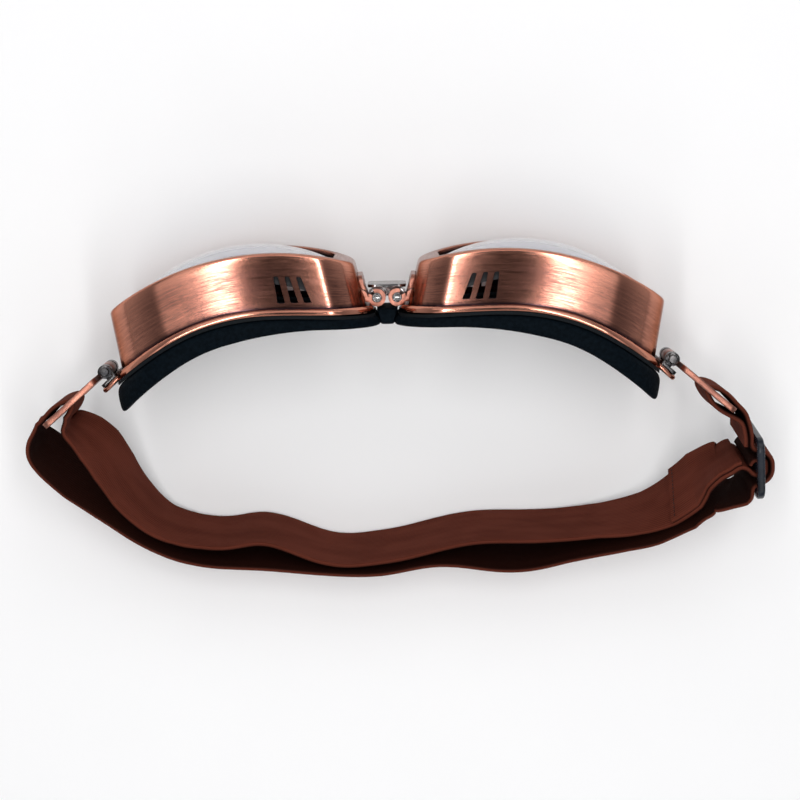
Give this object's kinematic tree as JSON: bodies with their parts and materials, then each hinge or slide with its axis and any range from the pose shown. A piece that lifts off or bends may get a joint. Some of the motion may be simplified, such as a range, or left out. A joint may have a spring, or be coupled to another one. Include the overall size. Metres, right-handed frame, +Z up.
{
  "type": "aviator goggles",
  "caption": "Aviator flying goggles: brushed copper cups, domed lenses, foam face pads, hinged bridge, swinging brackets and an adjustable elastic strap.",
  "frame": {"origin": "on the table, midway between the two upright pins of the bridge", "axes": "+X across the goggles towards the cup whose strap carries the slider, +Y forward out through the lenses, +Z up"},
  "size_m": [0.244, 0.1131, 0.0681],
  "materials": {
    "copper": "brushed antique copper with bright edges and darker hollows",
    "chrome": "polished nickel",
    "blackened_metal": "satin black",
    "seal_rubber": "matt black",
    "lens": "clear with a pale silver coating",
    "carrier_plastic": "matt black",
    "foam": "blue-black foam",
    "slider_plastic": "gloss black",
    "webbing": "ribbed dark red-brown elastic"
  },
  "bodies": {
    "bridge": {"bridge_link": "chrome", "hinge_screw_right": "chrome", "hinge_screw_left": "chrome", "nose_pad": "foam", "strap_back_inner": "webbing", "strap_back_outer": "webbing", "strap_left_inner": "webbing", "strap_left_outer": "webbing", "strap_right_inner": "webbing", "strap_right_outer": "webbing", "strap_sewn_end": "webbing"},
    "cup_right": {"cup_shell_right": "copper", "lens_right": "lens", "lens_seal_right": "seal_rubber", "lens_retainer_right": "blackened_metal", "pad_carrier_right": "carrier_plastic", "face_cushion_right": "foam", "hinge_leaf_right": "copper", "leaf_rivets_right": "chrome", "strap_lug_right": "chrome", "lug_rivets_right": "chrome", "lug_pin_right": "chrome"},
    "cup_left": {"cup_shell_left": "copper", "lens_left": "lens", "lens_seal_left": "seal_rubber", "lens_retainer_left": "blackened_metal", "pad_carrier_left": "carrier_plastic", "face_cushion_left": "foam", "hinge_leaf_left": "copper", "leaf_rivets_left": "chrome", "strap_lug_left": "chrome", "lug_rivets_left": "chrome", "lug_pin_left": "chrome"},
    "bracket_right": {"strap_bracket_right": "copper", "strap_right_loop": "webbing"},
    "bracket_left": {"strap_bracket_left": "copper", "strap_left_fold": "webbing"},
    "slider": {"slider": "slider_plastic", "strap_slider_pass": "webbing", "strap_slider_loop": "webbing"}
  },
  "joints": [
    {"name": "bridge_right_hinge", "type": "hinge", "parent": "bridge", "child": "cup_right", "pos_m": [0.0032, 0, 0.0404], "axis": [0, 0, 1], "range_deg": [-8.5, 8], "deforming": ["nose_pad", "strap_right_inner", "strap_right_outer", "strap_sewn_end"]},
    {"name": "bridge_left_hinge", "type": "hinge", "parent": "bridge", "child": "cup_left", "pos_m": [-0.0032, 0, 0.0404], "axis": [0, 0, -1], "range_deg": [-8.5, 8], "deforming": ["nose_pad", "strap_left_inner", "strap_left_outer"]},
    {"name": "bracket_right_hinge", "type": "hinge", "parent": "cup_right", "child": "bracket_right", "pos_m": [0.09162, -0.02268, 0.0339], "axis": [0, 0, 1], "range_deg": [-12, 60], "deforming": ["strap_right_inner", "strap_right_outer", "strap_sewn_end"]},
    {"name": "bracket_left_hinge", "type": "hinge", "parent": "cup_left", "child": "bracket_left", "pos_m": [-0.09162, -0.02268, 0.0339], "axis": [0, 0, -1], "range_deg": [-12, 60], "deforming": ["strap_left_inner", "strap_left_outer"]},
    {"name": "slider_slide", "type": "slide", "parent": "bracket_right", "child": "slider", "axis": [0.0344, -0.9842, -0.1736], "range_m": [0, 0.012], "deforming": ["strap_right_inner", "strap_right_outer", "strap_sewn_end"]}
  ]
}
